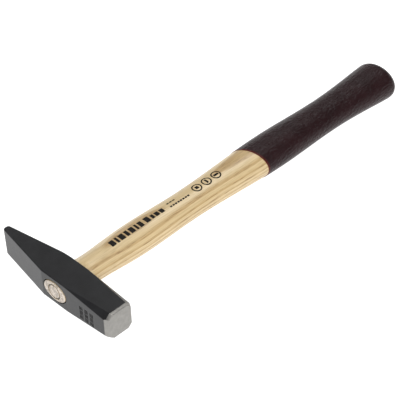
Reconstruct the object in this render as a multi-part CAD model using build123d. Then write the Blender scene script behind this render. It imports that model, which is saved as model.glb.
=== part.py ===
from build123d import *
from math import cos, radians, sin, sqrt
import os

# Cross peen hammer: a forged head on an oval ash handle, held by a steel ring
# wedge, with the grip dipped in a thick lacquer.
# Frame, in millimetres: +X runs along the handle from the head to the butt,
# +Y points to the peen and -Y to the striking face, +Z points up through the
# cheeks. The hammer lies on its side, and the origin is on the lower cheek,
# straight below the centre of the eye.

# ---- Driving dimensions -----------------------------------------------------
# Head: a square bar, drawn down to a wedge on one side of the eye.
HEAD_LENGTH = 95.0          # striking face to peen edge
BAR = 18.0                  # side of the square bar, and so the cheek spacing
FACE_TO_EYE = 42.7          # striking face to the middle of the eye
EYE_TO_WEDGE = 10.3         # middle of the eye to the crisp bend of the wedge
EYE_SWELL = 0.4             # how far the handle side swells around the eye
SWELL_END = -15.0           # Y where the swell has run out towards the face
BEND_RADIUS = 55.0          # soft bend into the wedge on the handle side
PEEN_THICKNESS = 4.0
PEEN_OFFSET = 0.4           # how far the peen leans towards the handle
PEEN_ROUNDING = 1.8
FORGED_EDGE = 0.45          # rounding of the long edges

# Poll: four corner flats that grow from nothing towards the striking face.
FLAT_START = -6.0           # Y where the corner flats begin
FLAT_AT_FACE = 3.6          # leg of each flat at the striking face
SIDE_RIM = 1.5              # ground bevel at the two sides of the striking face
SIDE_RIM_DEPTH = 3.0        # how far that bevel reaches back along the poll
CHEEK_RIM = 0.85            # the narrower bevel at the cheeks and the corners
CHEEK_RIM_DEPTH = 1.65      # how far that bevel reaches back along the poll

# Eye: an oval hole through the head, narrowest in the middle.
EYE_WAIST = (8.2, 5.8)      # half axes along Y and Z at the middle
EYE_MOUTH = (8.8, 6.3)      # half axes at both sides of the head
EYE_LIP = 0.4               # break of the sharp edge at each mouth

# Ring wedge: a tapered steel ring, driven into the end of the tenon.
RING_RADIUS = 4.9           # outer radius at the driven end
RING_WALL = 0.8
RING_TIP_WALL = 0.2         # wall left at the thin end
RING_TAPER = 0.35           # how much smaller the outer radius is at the tip
RING_LENGTH = 8.0
RING_SUNK = 0.5             # driven below the end of the wood
RING_GAP = 0.02             # wood to ring

# Handle: ash, oval in section. Each station is X, half width, half thickness.
TENON_GAP = 0.03            # wood to the wall of the eye
TENON_PROUD = 0.3           # how far the end grain stands out of the eye
TENON_ROUNDING = 0.5
SHOULDER_START = 9.9        # X where the tenon ends, just clear of the head
SHAFT_STATIONS = (
    (13.0, 9.7, 7.05),      # shoulder
    (28.0, 10.1, 7.4),
    (50.0, 11.15, 8.35),    # swell behind the head
    (84.0, 10.4, 7.85),     # neck, where the handle springs
    (122.0, 11.45, 8.75),
    (163.0, 13.0, 10.05),   # swell of the grip
    (212.0, 11.9, 9.3),     # hollow of the grip
    (243.0, 13.3, 10.4),
    (263.0, 14.85, 11.65),  # flare of the butt
    (274.0, 15.2, 12.0),    # past the butt, which is cut to its crown
)
TOTAL_LENGTH = 280.0        # eye side of the head to the end of the butt
BUTT_CROWN = 70.0           # radius of the slightly domed butt
BUTT_ROUNDING = 5.5

# Lacquer dip of the grip.
COAT = 0.25                 # thickness
DIP_X = 143.7               # X of the dip line at the middle of the handle
DIP_ANGLE = 16.6            # lean of the dip line, degrees

# ---- Worked-out values ------------------------------------------------------
HALF_BAR = BAR / 2
MID = HALF_BAR                          # height of the handle's middle line
FACE_Y = -FACE_TO_EYE
PEEN_Y = HEAD_LENGTH - FACE_TO_EYE
TENON_END = -HALF_BAR - TENON_PROUD
RING_TOP = TENON_END + RING_SUNK
BUTT_X = TOTAL_LENGTH - HALF_BAR - COAT
BLOCK = 60.0                            # side of a cutting block
PAST = 1.0                              # how far a cutter runs past a face


def oval(x, half_width, half_thickness):
    """An oval face across the handle at X."""
    plane = Plane(origin=(x, 0, MID), x_dir=(0, 1, 0), z_dir=(1, 0, 0))
    return plane * Ellipse(half_width, half_thickness)


def cutting_block(point, outward):
    """A large block that starts at a point and lies on its outward side."""
    base = Plane(origin=point, z_dir=outward)
    return base * Box(BLOCK, BLOCK, BLOCK, align=(Align.CENTER, Align.CENTER, Align.MIN))


# ---- Head -------------------------------------------------------------------
def eye_section(x, gap):
    """The eye's oval at X, made smaller by a gap all round."""
    open_up = (x / HALF_BAR) ** 2
    halves = [w + (m - w) * open_up - gap for w, m in zip(EYE_WAIST, EYE_MOUTH)]
    return oval(x, *halves)


def eye_body(start, end, gap):
    """What fills the eye between two X values, with a gap all round."""
    steps = 6
    stations = [start + (end - start) * step / steps for step in range(steps + 1)]
    return loft([eye_section(x, gap) for x in stations])


def eye_lip(side):
    """The cutter that breaks the edge of the eye on one side of the head."""
    wide = [half + EYE_LIP + PAST for half in EYE_MOUTH]
    inner_oval = oval(side * (HALF_BAR - EYE_LIP), *EYE_MOUTH)
    outer_oval = oval(side * (HALF_BAR + PAST), *wide)
    return loft([inner_oval, outer_oval], ruled=True)


def forged_blank():
    """The head as forged: its side outline, thick from cheek to cheek."""
    outline = Polyline(
        (-HALF_BAR, FACE_Y),
        (-HALF_BAR, EYE_TO_WEDGE),
        (PEEN_OFFSET - PEEN_THICKNESS / 2, PEEN_Y),
        (PEEN_OFFSET + PEEN_THICKNESS / 2, PEEN_Y),
        (HALF_BAR + EYE_SWELL, EYE_TO_WEDGE),
        (HALF_BAR, SWELL_END),
        (HALF_BAR, FACE_Y),
        close=True,
    )
    blank = extrude(make_face(outline), BAR)
    peen_edges = blank.edges().filter_by(Axis.Z).sort_by(Axis.Y)[-2:]
    blank = fillet(peen_edges, PEEN_ROUNDING)
    bend = blank.edges().filter_by(Axis.Z).sort_by(Axis.X)[-1:]
    blank = fillet(bend, BEND_RADIUS)
    cheeks = blank.faces().filter_by(Axis.Z)
    long_edges = cheeks.edges().filter_by(Axis.X, reverse=True)
    return fillet(long_edges, FORGED_EDGE)


def corner_flat(side_x, side_z):
    """The block that cuts one corner flat of the poll."""
    corner_x = side_x * HALF_BAR
    corner_z = MID + side_z * HALF_BAR
    start = Vector(corner_x, FLAT_START, corner_z)
    on_side = Vector(corner_x, FACE_Y, corner_z - side_z * FLAT_AT_FACE)
    on_cheek = Vector(corner_x - side_x * FLAT_AT_FACE, FACE_Y, corner_z)
    outward = (on_cheek - start).cross(on_side - start) * (side_x * side_z)
    return cutting_block((start + on_side + on_cheek) / 3, outward)


def rim_bevel(turn):
    """The block that grinds the rim on one of the face's eight sides."""
    out_x = cos(radians(turn))
    out_z = sin(radians(turn))
    on_corner = turn % 90 != 0
    side = (BAR - FLAT_AT_FACE) / sqrt(2) if on_corner else HALF_BAR
    wide_side = turn % 180 == 0
    rim = SIDE_RIM if wide_side else CHEEK_RIM
    depth = SIDE_RIM_DEPTH if wide_side else CHEEK_RIM_DEPTH
    edge = side - rim
    point = Vector(out_x * edge, FACE_Y, MID + out_z * edge)
    outward = Vector(out_x * depth, -rim, out_z * depth)
    return cutting_block(point, outward)


def make_head():
    head = forged_blank()
    for side_x in (-1, 1):
        for side_z in (-1, 1):
            head -= corner_flat(side_x, side_z)
    for side in range(8):
        head -= rim_bevel(side * 45)
    head -= eye_body(-HALF_BAR - PAST, HALF_BAR + PAST, 0)
    return head - eye_lip(-1) - eye_lip(1)


# ---- Ring wedge -------------------------------------------------------------
def ring_body(gap):
    """The ring, thick where it is driven and thin at its tip, grown by a gap."""
    tip = RING_TOP + RING_LENGTH + gap
    tip_outer = RING_RADIUS - RING_TAPER
    half_section = Polyline(
        (RING_TOP, MID + RING_RADIUS - RING_WALL - gap),
        (RING_TOP, MID + RING_RADIUS + gap),
        (tip, MID + tip_outer + gap),
        (tip, MID + tip_outer - RING_TIP_WALL - gap),
        close=True,
    )
    return revolve(Plane.XZ * make_face(half_section), Axis((0, 0, MID), (1, 0, 0)))


def ring_groove():
    """The cut that the ring leaves in the end of the tenon."""
    start = Plane(origin=(TENON_END - PAST, 0, MID), z_dir=(1, 0, 0))
    depth = PAST + RING_SUNK
    outer = Circle(RING_RADIUS + RING_GAP)
    inner = Circle(RING_RADIUS - RING_WALL - RING_GAP)
    return ring_body(RING_GAP) + extrude(start * (outer - inner), depth)


# ---- Handle and its dipped grip ---------------------------------------------
def shaft_body(grow):
    """The shaft from shoulder to butt, grown all round by a coat's thickness."""
    body = loft([oval(x, w + grow, t + grow) for x, w, t in SHAFT_STATIONS])
    end_x = BUTT_X + grow
    crown = Pos(end_x - BUTT_CROWN, 0, MID) * Sphere(BUTT_CROWN)
    beyond = Pos(end_x, 0, MID) * Box(BLOCK / 4, BLOCK, BLOCK)
    body -= beyond - crown
    butt_edge = body.edges().sort_by(Axis.X)[-1:]
    return fillet(butt_edge, BUTT_ROUNDING + grow)


def make_handle():
    tenon = eye_body(TENON_END, SHOULDER_START, TENON_GAP)
    tenon = fillet(tenon.edges().sort_by(Axis.X)[:1], TENON_ROUNDING)
    shoulder_ends = [eye_section(SHOULDER_START, TENON_GAP), oval(*SHAFT_STATIONS[0])]
    wood = tenon + loft(shoulder_ends, ruled=True) + shaft_body(0)
    return wood - ring_groove()


def make_grip_coat():
    normal = Vector(cos(radians(DIP_ANGLE)), sin(radians(DIP_ANGLE)), 0)
    line = Plane(origin=(DIP_X, 0, MID), z_dir=normal)
    align = (Align.CENTER, Align.CENTER, Align.MIN)
    dipped = line * Box(TOTAL_LENGTH, TOTAL_LENGTH, TOTAL_LENGTH, align=align)
    return (shaft_body(COAT) & dipped) - shaft_body(0)


nodes = {
    "head": make_head(),
    "ring_wedge": ring_body(0),
    "handle": make_handle(),
    "grip_coat": make_grip_coat(),
}

os.makedirs("parts", exist_ok=True)
for name, shape in nodes.items():
    export_step(shape, f"parts/{name}.step")
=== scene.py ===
import math

import bmesh
import bpy
from bpy.props import FloatProperty, FloatVectorProperty, IntProperty, PointerProperty
from mathutils import Matrix, Vector
from mathutils.bvhtree import BVHTree


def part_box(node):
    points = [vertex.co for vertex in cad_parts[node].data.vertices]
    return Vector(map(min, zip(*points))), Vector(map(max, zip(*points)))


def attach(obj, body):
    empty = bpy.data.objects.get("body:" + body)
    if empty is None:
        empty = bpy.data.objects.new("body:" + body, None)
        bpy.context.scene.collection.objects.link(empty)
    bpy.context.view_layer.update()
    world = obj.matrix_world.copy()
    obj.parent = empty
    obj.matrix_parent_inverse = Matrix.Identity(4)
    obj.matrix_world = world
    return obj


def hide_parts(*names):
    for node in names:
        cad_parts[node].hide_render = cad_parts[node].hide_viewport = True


bl_info = {
    "name": "Cross Peen Hammer",
    "version": (1, 0, 0),
    "blender": (4, 5, 0),
    "location": "View3D > Sidebar > Hammer",
    "description": "Builds a cross peen hammer with a forged head and a dipped ash handle",
    "category": "Object",
}

# The frame: +X runs along the handle to the butt, +Y to the peen and +Z through
# the cheeks. The hammer lies on its side, with its lower cheek at Z = 0.
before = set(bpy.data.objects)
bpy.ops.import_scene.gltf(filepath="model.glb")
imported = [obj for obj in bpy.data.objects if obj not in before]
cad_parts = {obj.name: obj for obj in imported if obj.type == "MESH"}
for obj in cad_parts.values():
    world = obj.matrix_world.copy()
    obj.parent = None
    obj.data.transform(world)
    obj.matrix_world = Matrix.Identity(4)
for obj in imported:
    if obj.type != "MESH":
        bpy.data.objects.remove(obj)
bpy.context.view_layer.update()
MM = 0.001

HEAD_LOW, HEAD_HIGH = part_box("head")
RING_LOW, RING_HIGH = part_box("ring_wedge")
WOOD_LOW, WOOD_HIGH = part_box("handle")
COAT_LOW, COAT_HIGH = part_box("grip_coat")
HALF_BAR = (HEAD_HIGH.z - HEAD_LOW.z) / 2
MIDDLE_Z = HEAD_LOW.z + HALF_BAR
FACE_Y = HEAD_LOW.y
PEEN_Y = HEAD_HIGH.y
COAT = COAT_HIGH.x - WOOD_HIGH.x

SHARP = 60  # degrees between the faces of an edge that a forging rounds over


# ---- Sizes and colours -------------------------------------------------------
def linear(hex_code):
    """Linear light from an sRGB hex value such as 8a5b2c."""
    channels = [int(hex_code[i:i + 2], 16) / 255 for i in (0, 2, 4)]
    return [c / 12.92 if c <= 0.04045 else ((c + 0.055) / 1.055) ** 2.4 for c in channels]


def length(name, value, description):
    """A length property, given in millimetres and held in metres."""
    return FloatProperty(
        name=name, description=description, default=value * MM, min=0,
        unit="LENGTH", subtype="DISTANCE", precision=5,
    )


def angle(name, value, description):
    """An angle property, given in degrees and held in radians."""
    return FloatProperty(
        name=name, description=description, default=math.radians(value), subtype="ANGLE",
    )


def brightness(name, value, description, unit="NONE"):
    """The strength of a light."""
    return FloatProperty(name=name, description=description, default=value, min=0, unit=unit)


def paint(name, hex_code, description):
    """A colour property, given as an sRGB hex value and held as linear light."""
    return FloatVectorProperty(
        name=name, description=description, default=linear(hex_code), size=3,
        min=0, max=1, subtype="COLOR",
    )


class HammerHeadSizes(bpy.types.PropertyGroup):
    wedge_start: length("Wedge start", 10.3, "From the middle of the eye to the bend of the wedge")
    eye_swell: length("Eye swell", 0.4, "How far the handle side swells around the eye")
    swell_end: length("Swell end", 15.0, "From the middle of the eye to the end of the swell")
    bend: length("Wedge bend", 5.0, "How far the soft bend on the handle side reaches each way")
    crisp_bend: length("Crisp bend", 0.35, "How far the bend on the eye side reaches each way")
    peen: length("Peen thickness", 4.0, "Thickness of the peen")
    peen_lean: length("Peen lean", 0.4, "How far the peen leans towards the handle")
    peen_round: length("Peen rounding", 1.5, "How far the rounding of the peen reaches")
    forged_edge: length("Forged edge", 0.5, "Rounding of the long edges")
    flat_start: length("Flat start", 6.0, "From the middle of the eye to where the flats begin")
    flat_leg: length("Flat leg", 3.6, "Leg of each corner flat at the striking face")
    side_rim: length("Side rim", 1.5, "Width of the ground bevel at the two sides of the face")
    side_depth: length("Side rim depth", 3.0, "How far that bevel reaches back along the poll")
    cheek_rim: length("Cheek rim", 0.85, "Width of the bevel at the cheeks and the corners")
    cheek_depth: length("Cheek rim depth", 1.65, "How far that bevel reaches back")
    crisp_edge: length("Crisp edge", 0.14, "Rounding of the flats and of the ground rim")
    eye_lip: length("Eye lip", 0.4, "Rounding of the mouth of the eye")
    eye_gap: length("Eye gap", 0.03, "Gap between the tenon and the eye")
    eye_mouth: length("Eye mouth", 0.5, "Gap between the tenon and the mouth of the eye")
    stamp_depth: length("Stamp depth", 0.6, "Depth of the stamped marks")


class HammerHandleSizes(bpy.types.PropertyGroup):
    around: IntProperty(
        name="Points around", description="Points in one oval of the handle", default=96, min=24,
    )
    tenon_round: length("Tenon rounding", 0.5, "Rounding of the end of the tenon")
    shoulder: length("Shoulder", 13.0, "From the middle of the eye to the end of the shoulder")
    butt_round: length("Butt rounding", 5.5, "Rounding of the butt")
    butt_crown: length("Butt crown", 70.0, "Radius of the domed end of the butt")
    ring_wall: length("Ring wall", 0.8, "Wall of the ring wedge where it is driven")
    ring_taper: length("Ring taper", 0.35, "How much smaller the ring is at its tip")
    ring_tip: length("Ring tip", 0.2, "Wall of the ring wedge at its tip")
    ring_gap: length("Ring gap", 0.11, "Gap in the end grain beside the ring wedge")
    dip_x: length("Dip line", 143.7, "Where the dip line crosses the middle of the handle")
    dip_lean: angle("Dip lean", 16.6, "Lean of the dip line")
    dip_lip: length("Dip lip", 0.16, "Rounding of the front edge of the lacquer")


class HammerColours(bpy.types.PropertyGroup):
    lacquer: paint("Head lacquer", "1b1b1d", "Black lacquer of the head")
    # Near black in the eye and the stamped marks: bare forging scale, and also painted shade in
    # these recesses.
    scale: paint("Forging scale", "0f0d0c", "Soot black scale in the eye and the stamped marks")
    steel: paint("Ground steel", "9c9a96", "Bright steel of the striking face")
    ring: paint("Wedge steel", "8f8b86", "Steel of the ring wedge")
    latewood: paint("Ash latewood", "dec698", "Pale, dense part of each year ring")
    earlywood: paint("Ash earlywood", "c8aa79", "Darker, porous part of each year ring")
    end_grain: paint("Ash end grain", "dccfc2", "Sawn end of the tenon")
    pore: paint("Ash pores", "8f6d42", "Open pores of the ash")
    grip: paint("Grip lacquer", "261416", "Dark burgundy brown dip of the grip")
    thin_grip: paint("Thin grip lacquer", "64231b", "The dip where it thins out at its edge")
    ink: paint("Printing ink", "16120f", "Black ink on the handle")
    floor: paint("Floor", "fafafa", "Plain pale floor")


class HammerStage(bpy.types.PropertyGroup):
    azimuth: angle("Azimuth", -44.44, "Direction that the camera looks from")
    elevation: angle("Elevation", 39.4, "Height of the camera above the horizon")
    roll: angle("Roll", -1.43, "Turn of the camera about its own axis")
    distance: length("Distance", 746.9, "From the camera to the point that it looks at")
    lens: FloatProperty(
        name="Lens", description="Focal length in millimetres", default=112.21, min=1,
        subtype="DISTANCE_CAMERA",
    )
    aim: FloatVectorProperty(
        name="Aim", description="Point that the camera looks at",
        default=(110.96 * MM, 9.36 * MM, -4.6 * MM), unit="LENGTH", subtype="XYZ",
    )
    floor_size: length("Floor size", 12000, "Side of the floor")
    glow: brightness("Glow", 1.15, "Light given off by the floor")
    room: brightness("Ceiling", 0.15, "Light of the ceiling")
    walls: brightness("Walls", 1.3, "Light of the foot of the walls")
    horizon: angle("Horizon", 12, "How high the light of the walls reaches")
    softbox: brightness("Softbox", 7.0, "Power of the large softbox", "POWER")
    rim_softbox: brightness("Rim softbox", 1.6, "Power of the softbox behind the hammer", "POWER")
    small_softbox: brightness("Small softbox", 2.3, "Power of the small softbox", "POWER")


# ---- Working on a mesh -------------------------------------------------------
def add_primitive(operator, name, stretch=(1, 1, 1), **settings):
    """Add a primitive at its size and place, and put its place into its mesh."""
    bpy.ops.object.select_all(action="DESELECT")
    operator(**settings)
    piece = bpy.context.object
    piece.name = name
    piece.data.name = name
    piece.scale = stretch
    bpy.ops.object.transform_apply(location=True, rotation=True, scale=True)
    return piece


def activate(piece):
    """Make one piece the only selected one and the active one."""
    bpy.ops.object.select_all(action="DESELECT")
    piece.select_set(True)
    bpy.context.view_layer.objects.active = piece


def edit(piece):
    """Start editing a piece, with nothing about its selection changed."""
    activate(piece)
    bpy.ops.object.mode_set(mode="EDIT")


def edit_all(piece):
    """Start editing a piece, with all of it selected."""
    edit(piece)
    bpy.ops.mesh.select_all(action="SELECT")


def leave_edit():
    """Go back to object mode."""
    bpy.ops.object.mode_set(mode="OBJECT")


def pick(piece, kind, test):
    """Select the points, edges or faces of the edited piece that pass a test."""
    bpy.ops.mesh.select_mode(type=kind)
    bpy.ops.mesh.select_all(action="DESELECT")
    mesh = bmesh.from_edit_mesh(piece.data)
    for item in {"VERT": mesh.verts, "EDGE": mesh.edges, "FACE": mesh.faces}[kind]:
        if test(item):
            item.select_set(True)
    mesh.select_flush_mode()
    bmesh.update_edit_mesh(piece.data)


def middle(edge):
    """The middle of an edge."""
    return (edge.verts[0].co + edge.verts[1].co) / 2


def crease(edge):
    """Angle between the two faces of an edge, in degrees."""
    return math.degrees(edge.calc_face_angle(0))


def near(value, target):
    """Whether two lengths agree within a fiftieth of a millimetre."""
    return abs(value - target) < 0.02 * MM


def upright_at(x, y):
    """A test for edges that stand upright at X and Y."""
    return lambda edge: all(near(v.co.x, x) and near(v.co.y, y) for v in edge.verts)


def slice_off(point, outward):
    """Cut the edited piece with a plane, drop what is outside it and fill the cut."""
    bpy.ops.mesh.select_all(action="SELECT")
    bpy.ops.mesh.bisect(plane_co=point, plane_no=outward, use_fill=True, clear_outer=True)


def score(y):
    """Add an edge loop round the edited piece at Y."""
    bpy.ops.mesh.select_all(action="SELECT")
    bpy.ops.mesh.bisect(plane_co=(0, y, 0), plane_no=(0, 1, 0))


def tidy(piece):
    """Merge doubled points and turn every face outwards."""
    edit_all(piece)
    bpy.ops.mesh.remove_doubles(threshold=0.002 * MM)
    bpy.ops.mesh.normals_make_consistent(inside=False)
    leave_edit()


def apply_modifier(piece, kind, **settings):
    """Add a modifier with its settings to a piece, and apply it."""
    activate(piece)
    bpy.ops.object.modifier_add(type=kind)
    modifier = piece.modifiers[-1]
    for setting, value in settings.items():
        setattr(modifier, setting, value)
    bpy.ops.object.modifier_apply(modifier=modifier.name)


def cut_with(piece, cutter):
    """Take the cutter's shape out of a piece and throw the cutter away."""
    apply_modifier(piece, "BOOLEAN", operation="DIFFERENCE", solver="EXACT", object=cutter)
    bpy.data.objects.remove(cutter)


def smooth(piece, limit=30):
    """Shade a piece smooth, except at edges sharper than the limit in degrees."""
    activate(piece)
    bpy.ops.object.shade_smooth_by_angle(angle=math.radians(limit))


def join(pieces, name):
    """Join pieces into the first of them, under a new name."""
    bpy.ops.object.select_all(action="DESELECT")
    for piece in pieces:
        piece.select_set(True)
    bpy.context.view_layer.objects.active = pieces[0]
    bpy.ops.object.join()
    pieces[0].name = name
    pieces[0].data.name = name
    return pieces[0]


def settle(piece, node, materials):
    """Give a piece its materials and its place in the frame."""
    piece.data.materials.clear()
    for material in materials:
        piece.data.materials.append(material)
    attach(piece, "root")
    if node:
        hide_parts(node)


def resize_about(x, width, thickness):
    """Scale the selection across the handle, about the handle's middle line."""
    bpy.ops.transform.resize(value=(1, width, thickness), center_override=(x, 0, MIDDLE_Z))


def oval_body(name, rings, around):
    """A closed body through ovals, each given as X, half width and half thickness."""
    last_x, last_width, last_thickness = rings[0]
    body = add_primitive(
        bpy.ops.mesh.primitive_circle_add, name, vertices=around, radius=1, fill_type="NGON",
        location=(last_x, 0, MIDDLE_Z), rotation=(0, math.pi / 2, 0),
    )
    edit_all(body)
    resize_about(last_x, last_width, last_thickness)
    for x, width, thickness in rings[1:]:
        step = {"value": (x - last_x, 0, 0)}
        bpy.ops.mesh.extrude_region_move(TRANSFORM_OT_translate=step)
        resize_about(x, width / last_width, thickness / last_thickness)
        last_x, last_width, last_thickness = x, width, thickness
    bpy.ops.mesh.select_all(action="SELECT")
    bpy.ops.mesh.normals_make_consistent(inside=False)
    leave_edit()
    return body


# ---- Reading the frame -------------------------------------------------------
def surface(node):
    """A search tree over the surface of a CAD node."""
    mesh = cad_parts[node].data
    points = [vertex.co for vertex in mesh.vertices]
    return BVHTree.FromPolygons(points, [face.vertices[:] for face in mesh.polygons])


def oval_at(tree, x, grow=0.0):
    """X, half width and half thickness of a CAD node at X, seen from outside."""
    side = tree.ray_cast(Vector((x, 1, MIDDLE_Z)), Vector((0, -1, 0)))[0]
    top = tree.ray_cast(Vector((x, 0, 1)), Vector((0, 0, -1)))[0]
    return (x, side.y + grow, top.z - MIDDLE_Z + grow)


def spaced(start, end, step):
    """Evenly spaced values from start to end, both included."""
    count = max(1, round((end - start) / step))
    return [start + (end - start) * i / count for i in range(count + 1)]


def eased(rings, rounds=4):
    """The same rings with the facets of the CAD surface averaged out."""
    for _ in range(rounds):
        inner = [
            (x, (w0 + 2 * w + w1) / 4, (t0 + 2 * t + t1) / 4)
            for (_, w0, t0), (x, w, t), (_, w1, t1) in zip(rings, rings[1:], rings[2:])
        ]
        rings = [rings[0], *inner, rings[-1]]
    return rings


def tenon_rings(tree, sizes):
    """Rings of the tenon, from its rounded end to where it leaves the head."""
    start = WOOD_LOW.x
    radius = sizes.tenon_round
    _, width, thickness = oval_at(tree, start + radius * 1.5)
    rings = []
    for turn in spaced(0, math.pi / 2, math.pi / 8):
        inset = radius * (1 - math.sin(turn))
        rings.append((start + radius * (1 - math.cos(turn)), width - inset, thickness - inset))
    leaves_head = HEAD_HIGH.x + sizes.tenon_round
    return rings + [oval_at(tree, x) for x in spaced(start + 2 * radius, leaves_head, 1.5 * MM)]


def shaft_rings(tree, start, grow, sizes):
    """Rings from start to the domed butt, grown by a coat's thickness."""
    end = WOOD_HIGH.x + grow
    radius = sizes.butt_round + grow
    rings = [oval_at(tree, x, grow) for x in spaced(start, end - radius - 1.2 * MM, 2 * MM)]
    rings = eased(rings)
    _, width, thickness = rings[-1]
    sag = (width - radius) ** 2 / (2 * sizes.butt_crown)
    for turn in spaced(0, math.pi / 2, math.pi / 20)[1:]:
        inset = radius * (1 - math.cos(turn))
        x = end - sag - radius * (1 - math.sin(turn))
        rings.append((x, width - inset, thickness - inset))
    for share in (0.8, 0.6, 0.4, 0.2, 0.05):
        x = end - sag * share ** 2
        rings.append((x, (width - radius) * share, (thickness - radius) * share))
    return rings


# ---- Materials ---------------------------------------------------------------
def add_node(tree, kind, inputs=(), links=(), stops=(), **settings):
    """Add a shader node with its settings, values, links and colour stops."""
    made = tree.nodes.new(kind)
    for setting, value in settings.items():
        setattr(made, setting, value)
    for socket, value in dict(inputs).items():
        made.inputs[socket].default_value = value
    for socket, source in dict(links).items():
        tree.links.new(source, made.inputs[socket])
    for place, (position, colour) in enumerate(stops):
        points = made.color_ramp.elements
        point = points[place] if place < 2 else points.new(position)
        point.position = position
        point.color = (*colour, 1)
    return made


def start_material(name):
    """An empty material, and its object coordinates in millimetres."""
    material = bpy.data.materials.new(name)
    material.use_nodes = True
    tree = material.node_tree
    tree.nodes.clear()
    coordinates = add_node(tree, "ShaderNodeTexCoord")
    scaled = add_node(
        tree, "ShaderNodeMapping", {"Scale": (1 / MM, 1 / MM, 1 / MM)},
        {"Vector": coordinates.outputs["Object"]},
    )
    return material, tree, scaled.outputs["Vector"]


def tint(colour, share=1.0):
    """A colour made darker or lighter."""
    return [channel * share for channel in colour]


def noise(tree, place, scale, detail=2):
    """Noise with so many cells to the millimetre: one count for all axes, or one for each."""
    if isinstance(scale, tuple):
        stretched = add_node(tree, "ShaderNodeMapping", {"Scale": scale}, {"Vector": place})
        place, scale = stretched.outputs["Vector"], 1.0
    inputs = {"Scale": scale, "Detail": detail}
    return add_node(tree, "ShaderNodeTexNoise", inputs, {"Vector": place}).outputs


def ramp(tree, factor, *stops):
    """A colour ramp through stops, each a position and a colour."""
    return add_node(tree, "ShaderNodeValToRGB", links={"Fac": factor}, stops=stops).outputs["Color"]


def shades(tree, factor, *values):
    """A ramp through greys, each a position and a brightness."""
    return ramp(tree, factor, *[(position, (value,) * 3) for position, value in values])


def spread(tree, factor, low, high, **inputs):
    """A factor spread over the range from low to high."""
    made = add_node(
        tree, "ShaderNodeMapRange", {"To Min": low, "To Max": high, **inputs}, {"Value": factor},
    )
    return made.outputs["Result"]


def bump(tree, height, strength, distance, below=None, invert=False):
    """Relief of so many millimetres, on top of the relief below it."""
    inputs = {"Strength": strength, "Distance": distance * MM}
    links = {"Height": height}
    if below is not None:
        links["Normal"] = below
    return add_node(tree, "ShaderNodeBump", inputs, links, invert=invert).outputs["Normal"]


def finish(tree, values, links=()):
    """The surface of a material: plain values, and links for what varies over it."""
    shader = add_node(tree, "ShaderNodeBsdfPrincipled", values, links)
    add_node(tree, "ShaderNodeOutputMaterial", links={"Surface": shader.outputs["BSDF"]})


def black_lacquer(colours):
    """Black dipping lacquer over a drop forging.

    Satin, with the fine orange peel of thick lacquer and the shallow hollows that
    the dies leave. It is a little greyer where it dries thin on high spots.
    """
    material, tree, place = start_material("Black lacquered forging")
    hollows = noise(tree, place, 0.14)["Fac"]
    peel = noise(tree, place, 1.3, 3)["Fac"]
    thick, thin = tint(colours.lacquer, 0.8), tint(colours.lacquer, 1.35)
    finish(tree, {"IOR": 1.5}, {
        "Base Color": ramp(tree, hollows, (0.3, thick), (0.72, thin)),
        "Roughness": spread(tree, peel, 0.34, 0.46),
        "Normal": bump(tree, peel, 0.8, 0.04, below=bump(tree, hollows, 0.5, 0.12)),
    })
    return material


def ground_steel(colours):
    """Carbon steel, ground on a belt: bright grey with fine straight scratches."""
    material, tree, place = start_material("Belt ground steel")
    # Belt scratches are about 0.1 mm apart, drawn at 0.25 mm so that they show.
    scratches = noise(tree, place, (4.0, 1.0, 0.25), 4)["Fac"]
    patches = noise(tree, place, 0.35)["Fac"]
    finish(tree, {"Metallic": 1.0}, {
        "Base Color": ramp(
            tree, patches, (0.3, tint(colours.steel, 0.86)), (0.7, tint(colours.steel)),
        ),
        "Roughness": spread(tree, scratches, 0.38, 0.6),
        "Normal": bump(tree, scratches, 0.4, 0.015),
    })
    return material


def scale_and_painted_shade(colours):
    """Forging scale left in the eye and in the stamped marks: matt, sooty, crusty, and near black
    as painted shade in these recesses.
    """
    material, tree, place = start_material("Forging scale")
    crust = noise(tree, place, 2.2, 3)["Fac"]
    finish(tree, {"IOR": 1.5, "Roughness": 0.9, "Specular IOR Level": 0.2}, {
        "Base Color": ramp(
            tree, crust, (0.35, tint(colours.scale)), (0.7, tint(colours.scale, 1.8)),
        ),
        "Normal": bump(tree, crust, 0.6, 0.05),
    })
    return material


def pressed_steel(colours):
    """Mild steel tube, pressed and driven: dull grey with a few darker stains."""
    material, tree, place = start_material("Pressed mild steel")
    stains = noise(tree, place, 0.9, 3)["Fac"]
    finish(tree, {"Metallic": 1.0, "Roughness": 0.45}, {
        "Base Color": ramp(
            tree, stains, (0.35, tint(colours.ring, 0.55)), (0.65, tint(colours.ring)),
        ),
    })
    return material


def year_rings(tree, place):
    """Where a point lies between the start (0) and the end (1) of its year ring."""
    year_width = 2.3
    waviness = 2.4
    from_heart = add_node(
        tree, "ShaderNodeMapping",
        {"Location": (0, 5, 55), "Rotation": (0, math.radians(0.9), math.radians(0.6))},
        {"Vector": place},
    )
    wander = noise(tree, place, (0.009, 0.05, 0.05))["Color"]
    shift = add_node(
        tree, "ShaderNodeVectorMath", {1: (-0.5, -0.5, -0.5)}, {0: wander}, operation="ADD",
    )
    bent = add_node(
        tree, "ShaderNodeVectorMath", {1: (waviness,) * 3},
        {0: shift.outputs["Vector"], 2: from_heart.outputs["Vector"]}, operation="MULTIPLY_ADD",
    )
    across = add_node(
        tree, "ShaderNodeVectorMath", {1: (0, 1, 1)}, {0: bent.outputs["Vector"]},
        operation="MULTIPLY",
    )
    radius = add_node(
        tree, "ShaderNodeVectorMath", links={0: across.outputs["Vector"]}, operation="LENGTH",
    )
    rings = add_node(
        tree, "ShaderNodeMath", {1: year_width}, {0: radius.outputs["Value"]}, operation="DIVIDE",
    )
    year = add_node(tree, "ShaderNodeMath", links={0: rings.outputs["Value"]}, operation="FRACT")
    return year.outputs["Value"]


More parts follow.
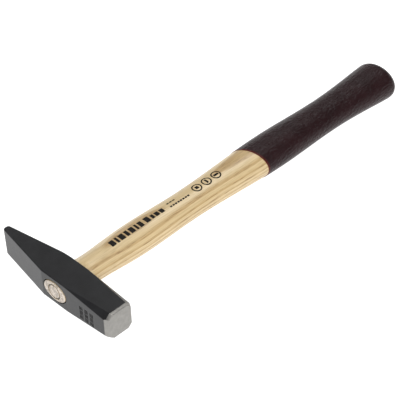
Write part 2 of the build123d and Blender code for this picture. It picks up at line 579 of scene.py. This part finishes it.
def ash_wood(colours):
    """Ash, turned, sanded and clear lacquered, with its grain along the handle.

    Ash is ring porous: each year ring, about 2.3 mm here, starts with a band of
    open pores that reads as a darker line, and ends in pale dense wood. The tree's
    heart lies below the handle, so the rings run out in long loops on the upper
    side and in straight lines at the edges.
    """
    material, tree, place = start_material("Sanded ash")
    year = year_rings(tree, place)
    early, late = tint(colours.earlywood), tint(colours.latewood)
    ring_tone = ramp(
        tree, year, (0.0, early), (0.16, early), (0.5, late), (0.93, late), (1.0, early),
    )
    # Pores are 0.2 mm wide and some 6 mm long, drawn 0.35 mm wide so that they show.
    pores = noise(tree, place, (0.11, 2.6, 2.6))["Fac"]
    pore_lines = shades(tree, pores, (0.52, 0.0), (0.66, 1.0))
    porous_band = shades(tree, year, (0.0, 0.8), (0.2, 0.7), (0.5, 0.16), (0.92, 0.1), (1.0, 0.8))
    pore_share = add_node(
        tree, "ShaderNodeMath", links={0: pore_lines, 1: porous_band}, operation="MULTIPLY",
    ).outputs["Value"]
    with_pores = add_node(
        tree, "ShaderNodeMix", {"B": (*colours.pore, 1)}, {"Factor": pore_share, "A": ring_tone},
        data_type="RGBA",
    ).outputs["Result"]
    fibres = noise(tree, place, (0.015, 1.6, 1.6), 3)["Fac"]
    fibre_tone = ramp(tree, fibres, (0.34, (0.85, 0.83, 0.79)), (0.6, (1.0, 1.0, 1.0)))
    wood_tone = add_node(
        tree, "ShaderNodeMix", {"Factor": 1.0}, {"A": with_pores, "B": fibre_tone},
        data_type="RGBA", blend_type="MULTIPLY",
    ).outputs["Result"]
    # The sawn end of the tenon is paler than the turned sides.
    along = add_node(tree, "ShaderNodeSeparateXYZ", links={"Vector": place}).outputs["X"]
    end_x = WOOD_LOW.x / MM
    end_share = spread(tree, along, 0.9, 0.0, **{"From Min": end_x + 0.1, "From Max": end_x + 0.7})
    mottle = noise(tree, place, 0.8, 4)["Fac"]
    end_tone = ramp(
        tree, mottle, (0.42, tint(colours.end_grain, 0.5)), (0.56, tint(colours.end_grain)),
    )
    tone = add_node(
        tree, "ShaderNodeMix", links={"Factor": end_share, "A": wood_tone, "B": end_tone},
        data_type="RGBA",
    ).outputs["Result"]
    finish(
        tree, {"IOR": 1.5, "Roughness": 0.45, "Coat Weight": 0.35, "Coat Roughness": 0.3},
        {"Base Color": tone, "Normal": bump(tree, pore_share, 0.5, 0.04, invert=True)},
    )
    return material


def dipped_lacquer(colours, sizes):
    """Thick dipping lacquer on a wooden grip: deep, satin, slightly pimpled.

    The pores of the ash show through as short streaks, and the colour turns red
    brown where the lacquer thins out at the dip line.
    """
    material, tree, place = start_material("Dipped grip lacquer")
    pimples = noise(tree, place, (0.4, 0.75, 0.75), 3)["Fac"]
    streaks = noise(tree, place, (0.16, 1.3, 1.3))["Fac"]
    clouds = noise(tree, place, 0.07)["Fac"]
    dark, light = tint(colours.grip, 0.85), tint(colours.grip, 1.25)
    body_tone = ramp(tree, clouds, (0.3, dark), (0.7, light))
    lean = sizes.dip_lean
    from_edge = add_node(
        tree, "ShaderNodeVectorMath", {1: (math.cos(lean), math.sin(lean), 0)}, {0: place},
        operation="DOT_PRODUCT",
    )
    edge_at = sizes.dip_x / MM * math.cos(lean)
    thinness = spread(
        tree, from_edge.outputs["Value"], 0.85, 0.0,
        **{"From Min": edge_at, "From Max": edge_at + 1.6},
    )
    tone = add_node(
        tree, "ShaderNodeMix", {"B": (*colours.thin_grip, 1)}, {"Factor": thinness, "A": body_tone},
        data_type="RGBA",
    )
    finish(tree, {"IOR": 1.5, "Specular IOR Level": 0.16}, {
        "Base Color": tone.outputs["Result"],
        "Roughness": spread(tree, streaks, 0.22, 0.42),
        "Normal": bump(tree, streaks, 1.0, 0.25, below=bump(tree, pimples, 1.0, 0.7)),
    })
    return material


def printing_ink(colours):
    """Pad printed ink: flat black, a little thin where the pores drink it."""
    material, tree, place = start_material("Pad printed ink")
    thin = noise(tree, place, (0.3, 2.6, 2.6))["Fac"]
    finish(tree, {"IOR": 1.3, "Roughness": 0.7}, {
        "Base Color": ramp(tree, thin, (0.55, tint(colours.ink)), (0.75, tint(colours.ink, 4))),
    })
    return material


def light_table(colours, stage):
    """White acrylic lit from below: it fills the underside of the hammer with light."""
    material, tree, _ = start_material("Lit white acrylic")
    finish(tree, {
        "Base Color": (*tint(colours.floor, 0.25), 1), "Roughness": 0.6,
        "Emission Color": (*colours.floor, 1), "Emission Strength": stage.glow,
    })
    return material


# ---- Head --------------------------------------------------------------------
def pull_edge(blank, x, y, new_x):
    """Move one upright edge of the blank to a new X."""
    pick(blank, "EDGE", upright_at(x, y))
    bpy.ops.transform.translate(value=(new_x - x, 0, 0))


def forge_blank(sizes):
    """The square bar, drawn down to a wedge on one side of the eye."""
    blank = add_primitive(
        bpy.ops.mesh.primitive_cube_add, "forged_head", size=1,
        location=(0, (PEEN_Y + FACE_Y) / 2, MIDDLE_Z),
        stretch=(2 * HALF_BAR, PEEN_Y - FACE_Y, 2 * HALF_BAR),
    )
    edit(blank)
    score(-sizes.swell_end)
    score(sizes.wedge_start)
    peen_near = sizes.peen_lean - sizes.peen / 2
    peen_far = sizes.peen_lean + sizes.peen / 2
    pull_edge(blank, HALF_BAR, sizes.wedge_start, HALF_BAR + sizes.eye_swell)
    pull_edge(blank, HALF_BAR, PEEN_Y, peen_far)
    pull_edge(blank, -HALF_BAR, PEEN_Y, peen_near)
    bpy.ops.mesh.select_all(action="SELECT")
    bpy.ops.mesh.dissolve_limited(angle_limit=math.radians(0.05))

    pick(blank, "EDGE", upright_at(HALF_BAR + sizes.eye_swell, sizes.wedge_start))
    bpy.ops.mesh.bevel(offset=sizes.bend, segments=14, affect="EDGES")
    pick(blank, "EDGE", upright_at(-HALF_BAR, sizes.wedge_start))
    bpy.ops.mesh.bevel(offset=sizes.crisp_bend, segments=2, affect="EDGES")

    def is_level(edge):
        return near(edge.verts[0].co.z, edge.verts[1].co.z)

    def on_peen(edge):
        at_end = all(near(v.co.y, PEEN_Y) for v in edge.verts)
        return at_end and crease(edge) > SHARP and not is_level(edge)

    def on_cheek_edge(edge):
        return is_level(edge) and crease(edge) > SHARP and not near(middle(edge).y, FACE_Y)

    pick(blank, "EDGE", on_peen)
    bpy.ops.mesh.bevel(offset=sizes.peen_round, segments=8, affect="EDGES")
    pick(blank, "EDGE", on_cheek_edge)
    bpy.ops.mesh.bevel(offset=sizes.forged_edge, segments=4, affect="EDGES")
    leave_edit()
    return blank


def grind_poll(head, sizes):
    """The four corner flats and the ground bevel round the striking face."""
    edit(head)
    leg = sizes.flat_leg
    for side_x in (-1, 1):
        for side_z in (-1, 1):
            corner_z = MIDDLE_Z + side_z * HALF_BAR
            start = Vector((side_x * HALF_BAR, -sizes.flat_start, corner_z))
            on_side = Vector((side_x * HALF_BAR, FACE_Y, corner_z - side_z * leg))
            on_cheek = Vector((side_x * (HALF_BAR - leg), FACE_Y, corner_z))
            outward = (on_cheek - start).cross(on_side - start) * side_x * side_z
            slice_off(start, outward.normalized())
    for side in range(8):
        turn = side * math.pi / 4
        out = Vector((math.cos(turn), 0, math.sin(turn)))
        reach = HALF_BAR if side % 2 == 0 else (2 * HALF_BAR - leg) / math.sqrt(2)
        wide_side = side % 4 == 0
        rim = sizes.side_rim if wide_side else sizes.cheek_rim
        depth = sizes.side_depth if wide_side else sizes.cheek_depth
        point = Vector((0, FACE_Y, MIDDLE_Z)) + out * (reach - rim)
        slice_off(point, (out * depth - Vector((0, rim, 0))).normalized())
    leave_edit()
    tidy(head)
    apply_modifier(
        head, "BEVEL", width=sizes.crisp_edge, segments=2, limit_method="ANGLE",
        angle_limit=math.radians(30),
    )


def punch_eye(head, sizes):
    """The oval eye, narrowest in the middle, with its mouths rounded over."""
    tree = surface("handle")
    lip = sizes.eye_lip
    start, end = HEAD_LOW.x, HEAD_HIGH.x
    wall = [oval_at(tree, x, sizes.eye_gap) for x in spaced(start + 2.4 * MM, end - lip, 1.4 * MM)]
    _, near_width, near_thickness = oval_at(tree, start + lip, sizes.eye_mouth)
    _, far_width, far_thickness = wall[-1]
    near_lip, far_lip = [], []
    for turn in spaced(0, math.pi / 2, math.pi / 8):
        depth, flare = lip * (1 - math.cos(turn)), lip * (1 - math.sin(turn))
        near_lip.append((start + depth, near_width + flare, near_thickness + flare))
        far_lip.insert(0, (end - depth, far_width + flare, far_thickness + flare))
    first = (start - MM, near_width + lip, near_thickness + lip)
    last = (end + MM, far_width + lip, far_thickness + lip)
    cut_with(head, oval_body("eye_cutter", [first, *near_lip, *wall, *far_lip[1:], last], 72))


def stamp_marks(head, sizes):
    """Plain stamped signs on the eye side of the poll: strokes across or along it."""
    first_column, column_pitch, row_pitch, drop = -21.5, 4.1, 3.1, 1.4 * MM
    stroke, reach, stroke_pitch = 0.58 * MM, 2.6 * MM, 0.95 * MM
    dies = []
    for column in range(3):
        for row in range(3):
            y = (first_column - column * column_pitch) * MM
            z = MIDDLE_Z + (row - 1) * row_pitch * MM - drop
            for step in (-1, 0, 1):
                if (column + row) % 2:
                    place, wide, tall = (y, z + step * stroke_pitch), reach, stroke
                else:
                    place, wide, tall = (y + step * stroke_pitch, z), stroke, reach
                dies.append(add_primitive(
                    bpy.ops.mesh.primitive_cube_add, "die", size=1,
                    location=(-HALF_BAR, *place), stretch=(2 * sizes.stamp_depth, wide, tall),
                ))
    cut_with(head, join(dies, "dies"))


def press_flat(head):
    """Press whatever a bevel pushed out of the head's box back onto the box."""
    edit(head)
    for axis in (0, 2):
        keep = Vector((1, 1, 1))
        keep[axis] = 0
        for side, corner in ((-1, HEAD_LOW), (1, HEAD_HIGH)):
            limit = side * corner[axis]
            pick(head, "VERT", lambda v: side * v.co[axis] > limit)
            bpy.ops.transform.resize(value=keep, center_override=corner)
    leave_edit()
    tidy(head)


class HAMMER_OT_head(bpy.types.Operator):
    """Forge the head, grind its face, punch its eye and stamp its marks"""

    bl_idname = "hammer.head"
    bl_label = "Forged Head"

    def execute(self, context):
        sizes = context.scene.hammer_head
        colours = context.scene.hammer_colours
        head = forge_blank(sizes)
        grind_poll(head, sizes)
        punch_eye(head, sizes)
        stamp_marks(head, sizes)
        press_flat(head)
        finishes = [black_lacquer(colours), ground_steel(colours), scale_and_painted_shade(colours)]
        settle(head, "head", finishes)
        inside = HALF_BAR - 0.1 * MM
        stamped_from, stamped_to, stamped_reach = -32 * MM, -18 * MM, 7 * MM
        bright_to = FACE_Y + sizes.side_depth + sizes.crisp_edge
        _, eye_width, eye_thickness = oval_at(surface("handle"), HALF_BAR)

        # Faces inside the eye and the stamped marks take the near black scale, which is also
        # painted shade in these recesses.
        def is_scale_and_shade(face):
            x, y, z = face.calc_center_median()
            in_eye = math.hypot(y / eye_width, (z - MIDDLE_Z) / eye_thickness) < 1.12
            in_stamps = (x < -HALF_BAR / 2 and stamped_from < y < stamped_to
                         and abs(z - MIDDLE_Z) < stamped_reach)
            return abs(x) < inside and (in_eye or in_stamps)

        def is_ground(face):
            return face.calc_center_median().y < bright_to and face.normal.y < -0.2

        edit(head)
        for slot, test in ((2, is_scale_and_shade), (1, is_ground)):
            pick(head, "FACE", test)
            head.active_material_index = slot
            bpy.ops.object.material_slot_assign()
        leave_edit()
        smooth(head, 35)
        apply_modifier(head, "WEIGHTED_NORMAL", keep_sharp=True, weight=60)
        return {"FINISHED"}


# ---- Handle, wedge and grip --------------------------------------------------
def tube(name, rings):
    """A ring-shaped body: each step is X and radius, round the handle's middle line."""
    last_x, last_radius = rings[0]
    body = add_primitive(
        bpy.ops.mesh.primitive_circle_add, name, vertices=72, radius=last_radius,
        location=(last_x, 0, MIDDLE_Z), rotation=(0, math.pi / 2, 0),
    )
    edit_all(body)
    for x, radius in rings[1:]:
        step = {"value": (x - last_x, 0, 0)}
        bpy.ops.mesh.extrude_edges_move(TRANSFORM_OT_translate=step)
        resize_about(x, radius / last_radius, radius / last_radius)
        last_x, last_radius = x, radius
    pick(body, "EDGE", lambda e: e.is_boundary)
    bpy.ops.mesh.bridge_edge_loops()
    bpy.ops.mesh.select_all(action="SELECT")
    bpy.ops.mesh.normals_make_consistent(inside=False)
    leave_edit()
    return body


def wedge_outline(sizes, gap, start):
    """X and radius round the ring wedge's section, grown by a gap."""
    outer = (RING_HIGH.y - RING_LOW.y) / 2
    tip_outer = outer - sizes.ring_taper
    return [
        (start, outer + gap),
        (RING_LOW.x, outer + gap),
        (RING_HIGH.x + gap, tip_outer + gap),
        (RING_HIGH.x + gap, tip_outer - sizes.ring_tip - gap),
        (RING_LOW.x, outer - sizes.ring_wall - gap),
        (start, outer - sizes.ring_wall - gap),
    ]


class HAMMER_OT_handle(bpy.types.Operator):
    """Shape the ash handle, from the tenon in the eye to the flared butt"""

    bl_idname = "hammer.handle"
    bl_label = "Ash Handle"

    def execute(self, context):
        sizes = context.scene.hammer_handle
        tree = surface("handle")
        rings = tenon_rings(tree, sizes)
        shoulder = spaced(rings[-1][0] + MM, sizes.shoulder, MM)
        rings += [oval_at(tree, x) for x in shoulder]
        rings += shaft_rings(tree, sizes.shoulder + MM, 0, sizes)
        handle = oval_body("ash_handle", rings, sizes.around)
        groove = tube("groove", wedge_outline(sizes, sizes.ring_gap, WOOD_LOW.x - MM))
        edit_all(groove)
        aside = sizes.ring_gap - 0.02 * MM
        bpy.ops.transform.translate(value=(0, aside * 0.5, -aside * 0.87))
        leave_edit()
        cut_with(handle, groove)
        settle(handle, "handle", [ash_wood(context.scene.hammer_colours)])
        smooth(handle, 40)
        return {"FINISHED"}


class HAMMER_OT_wedge(bpy.types.Operator):
    """Turn the tapered ring wedge that spreads the tenon"""

    bl_idname = "hammer.wedge"
    bl_label = "Ring Wedge"

    def execute(self, context):
        sizes = context.scene.hammer_handle
        ring = tube("ring_wedge_steel", wedge_outline(sizes, 0, RING_LOW.x)[1:5])

        def on_driven_end(edge):
            return all(near(v.co.x, RING_LOW.x) for v in edge.verts) and crease(edge) > 30

        edit(ring)
        pick(ring, "EDGE", on_driven_end)
        bpy.ops.mesh.bevel(offset=sizes.ring_wall / 6, segments=2, affect="EDGES")
        leave_edit()
        settle(ring, "ring_wedge", [pressed_steel(context.scene.hammer_colours)])
        smooth(ring)
        return {"FINISHED"}


class HAMMER_OT_grip(bpy.types.Operator):
    """Dip the grip in lacquer up to its slanted dip line"""

    bl_idname = "hammer.grip"
    bl_label = "Dipped Grip"

    def execute(self, context):
        sizes = context.scene.hammer_handle
        start = COAT_LOW.x - 4 * MM
        coat = oval_body(
            "dipped_grip", shaft_rings(surface("handle"), start, COAT, sizes), sizes.around,
        )
        towards_head = Vector((-math.cos(sizes.dip_lean), -math.sin(sizes.dip_lean), 0))
        edit_all(coat)
        bpy.ops.mesh.bisect(
            plane_co=(sizes.dip_x, 0, MIDDLE_Z), plane_no=towards_head, clear_outer=True,
        )
        leave_edit()
        apply_modifier(coat, "SOLIDIFY", thickness=COAT - 0.01 * MM, offset=-1)
        edit(coat)
        edge_at = sizes.dip_x * math.cos(sizes.dip_lean)

        def on_lip(edge):
            if crease(edge) < 40:
                return False
            return all(near(-v.co.dot(towards_head), edge_at) for v in edge.verts)

        pick(coat, "EDGE", on_lip)
        bpy.ops.mesh.bevel(offset=sizes.dip_lip / 2, segments=3, affect="EDGES")
        leave_edit()
        colours = context.scene.hammer_colours
        settle(coat, "grip_coat", [dipped_lacquer(colours, sizes)])
        smooth(coat, 45)
        return {"FINISHED"}


# ---- Printed marks -----------------------------------------------------------
def flat_bar(x, y, long, wide):
    """A flat bar above the handle, in millimetres, divided so that it can wrap round it."""
    return add_primitive(
        bpy.ops.mesh.primitive_grid_add, "mark", x_subdivisions=4, y_subdivisions=10, size=1,
        location=(x * MM, y * MM, HEAD_HIGH.z + MM), stretch=(long * MM, wide * MM, 1),
    )


def flat_ring(x, y, radius, stroke):
    """A flat ring above the handle, in millimetres."""
    ring = add_primitive(
        bpy.ops.mesh.primitive_circle_add, "mark", vertices=48, radius=radius * MM,
        location=(x * MM, y * MM, HEAD_HIGH.z + MM),
    )
    edit_all(ring)
    bpy.ops.mesh.extrude_edges_move()
    share = 1 - stroke / radius
    bpy.ops.transform.resize(
        value=(share, share, 1), center_override=(x * MM, y * MM, HEAD_HIGH.z + MM),
    )
    leave_edit()
    return ring


def bold_row():
    """The large mark near the head: upright bars of uneven length."""
    marks = []
    x = 31.5
    for long in (3.2, 1.6, 3.4, 2.2, 3.2, 1.6, 2.8):
        marks.append(flat_bar(x + long / 2, -0.3, long, 4.6))
        x += long + 1.05
    marks.append(flat_bar(59.6, 0, 3.4, 4.6))
    x = 62.6
    for long in (2.1, 2.9, 2.9):
        marks.append(flat_bar(x + long / 2, -0.3, long, 3.4))
        x += long + 0.9
    return marks


def fine_rows():
    """Two lines of short dashes after the large mark."""
    marks = [flat_bar(77.6 + step * 2.3, 1.9, 1.7, 1.0) for step in range(3)]
    marks += [flat_bar(77.4 + step * 1.95, -1.4, 1.5, 1.2) for step in range(8)]
    return marks


def round_signs():
    """Three plain round signs: a square, an upright bar and a level bar, each in a ring."""
    marks = []
    for x, long, wide in ((99.4, 2.3, 2.3), (107.3, 1.3, 3.6), (115.2, 3.6, 1.5)):
        marks.append(flat_ring(x, 0, 3.3, 0.85))
        marks.append(flat_bar(x, 0, long, wide))
    return marks


class HAMMER_OT_print(bpy.types.Operator):
    """Print plain marks on the upper side of the handle"""

    bl_idname = "hammer.print"
    bl_label = "Printed Marks"

    def execute(self, context):
        marks = join(bold_row() + fine_rows() + round_signs(), "printed_marks")
        ink = 0.015 * MM
        apply_modifier(
            marks, "SHRINKWRAP", target=bpy.data.objects["ash_handle"], wrap_method="PROJECT",
            use_project_z=True, use_negative_direction=True, offset=ink,
        )
        apply_modifier(marks, "SOLIDIFY", thickness=ink, offset=1)
        settle(marks, None, [printing_ink(context.scene.hammer_colours)])
        smooth(marks, 60)
        return {"FINISHED"}


# ---- Stage -------------------------------------------------------------------
class HAMMER_OT_stage(bpy.types.Operator):
    """Set the hammer on a lit white table, with the lights, the room and the camera"""

    bl_idname = "hammer.stage"
    bl_label = "Stage"

    def execute(self, context):
        stage = context.scene.hammer_stage
        self.lay_floor(context, stage)
        self.hang_lights(stage)
        self.place_camera(context, stage)
        self.light_room(context, stage)
        context.scene.view_settings.view_transform = "Standard"
        return {"FINISHED"}

    def light_room(self, context, stage):
        """A room with bright feet of its walls and a dim ceiling."""
        world = bpy.data.worlds.new("Plain room")
        world.use_nodes = True
        tree = world.node_tree
        direction = add_node(tree, "ShaderNodeTexCoord")
        height = add_node(
            tree, "ShaderNodeSeparateXYZ", links={"Vector": direction.outputs["Generated"]},
        )
        glow = add_node(
            tree, "ShaderNodeMapRange",
            {"From Max": math.sin(stage.horizon), "To Min": stage.walls, "To Max": stage.room},
            {"Value": height.outputs["Z"]}, interpolation_type="SMOOTHSTEP",
        )
        background = tree.nodes["Background"]
        background.inputs["Color"].default_value = (1, 1, 1, 1)
        tree.links.new(glow.outputs["Result"], background.inputs["Strength"])
        context.scene.world = world

    def lay_floor(self, context, stage):
        """The floor touches the head's lower edge and the lowest point of the grip."""
        lowest = min((v.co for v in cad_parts["grip_coat"].data.vertices), key=lambda co: co.z)
        dip = math.atan2(HEAD_LOW.z - lowest.z, lowest.x - HEAD_LOW.x)
        floor = add_primitive(
            bpy.ops.mesh.primitive_plane_add, "floor", size=stage.floor_size,
            location=(HEAD_LOW.x, 0, HEAD_LOW.z), rotation=(0, dip, 0),
        )
        floor.data.materials.append(light_table(context.scene.hammer_colours, stage))

    def hang_lights(self, stage):
        """A large softbox in front of the head, a small one over the grip, one behind."""
        aim, away = Vector(stage.aim), 0.95
        plans = (
            ("softbox", Vector((-0.35, -0.5, 0.79)), 0.8, stage.softbox),
            ("small_softbox", Vector((0.54, 0.2, 0.82)), 0.3, stage.small_softbox),
            ("rim_softbox", Vector((0.12, 0.96, 0.25)), 0.5, stage.rim_softbox),
        )
        for name, direction, side, power in plans:
            bpy.ops.object.light_add(type="AREA", location=aim + direction * away)
            light = bpy.context.object
            light.name = name
            light.data.shape = "SQUARE"
            light.data.size = side
            light.data.energy = power
            light.rotation_euler = direction.to_track_quat("Z", "Y").to_euler()

    def place_camera(self, context, stage):
        """The camera looks at its aim from the chosen side and height."""
        around, above = stage.azimuth, stage.elevation
        back = Vector((math.sin(around) * math.cos(above), -math.cos(around) * math.cos(above),
                       math.sin(above)))
        level = Vector((math.cos(around), math.sin(around), 0))
        upright = Matrix((level, back.cross(level), back)).transposed()
        bpy.ops.object.camera_add(location=Vector(stage.aim) + back * stage.distance)
        camera = bpy.context.object
        camera.name = "camera"
        camera.rotation_euler = (upright @ Matrix.Rotation(stage.roll, 3, "Z")).to_euler()
        camera.data.lens = stage.lens
        camera.data.sensor_width = 36
        context.scene.camera = camera


class HAMMER_PT_panel(bpy.types.Panel):
    """The pieces of the hammer, in the order in which they are made"""

    bl_label = "Cross Peen Hammer"
    bl_idname = "HAMMER_PT_panel"
    bl_space_type = "VIEW_3D"
    bl_region_type = "UI"
    bl_category = "Hammer"

    def draw(self, context):
        for operator in OPERATORS:
            self.layout.operator(operator.bl_idname)
        for group in GROUPS:
            box = self.layout.box()
            settings = getattr(context.scene, group)
            for name in settings.__annotations__:
                box.prop(settings, name)


OPERATORS = (
    HAMMER_OT_head, HAMMER_OT_handle, HAMMER_OT_wedge, HAMMER_OT_grip, HAMMER_OT_print,
    HAMMER_OT_stage,
)
GROUPS = {
    "hammer_head": HammerHeadSizes,
    "hammer_handle": HammerHandleSizes,
    "hammer_colours": HammerColours,
    "hammer_stage": HammerStage,
}


def register():
    for kind in (*GROUPS.values(), *OPERATORS, HAMMER_PT_panel):
        bpy.utils.register_class(kind)
    for name, group in GROUPS.items():
        setattr(bpy.types.Scene, name, PointerProperty(type=group))


def unregister():
    for name in GROUPS:
        delattr(bpy.types.Scene, name)
    for kind in (HAMMER_PT_panel, *reversed(OPERATORS), *reversed(GROUPS.values())):
        bpy.utils.unregister_class(kind)


def main():
    register()
    bpy.ops.hammer.head()
    bpy.ops.hammer.handle()
    bpy.ops.hammer.wedge()
    bpy.ops.hammer.grip()
    bpy.ops.hammer.print()
    bpy.ops.hammer.stage()


if __name__ == "__main__":
    main()
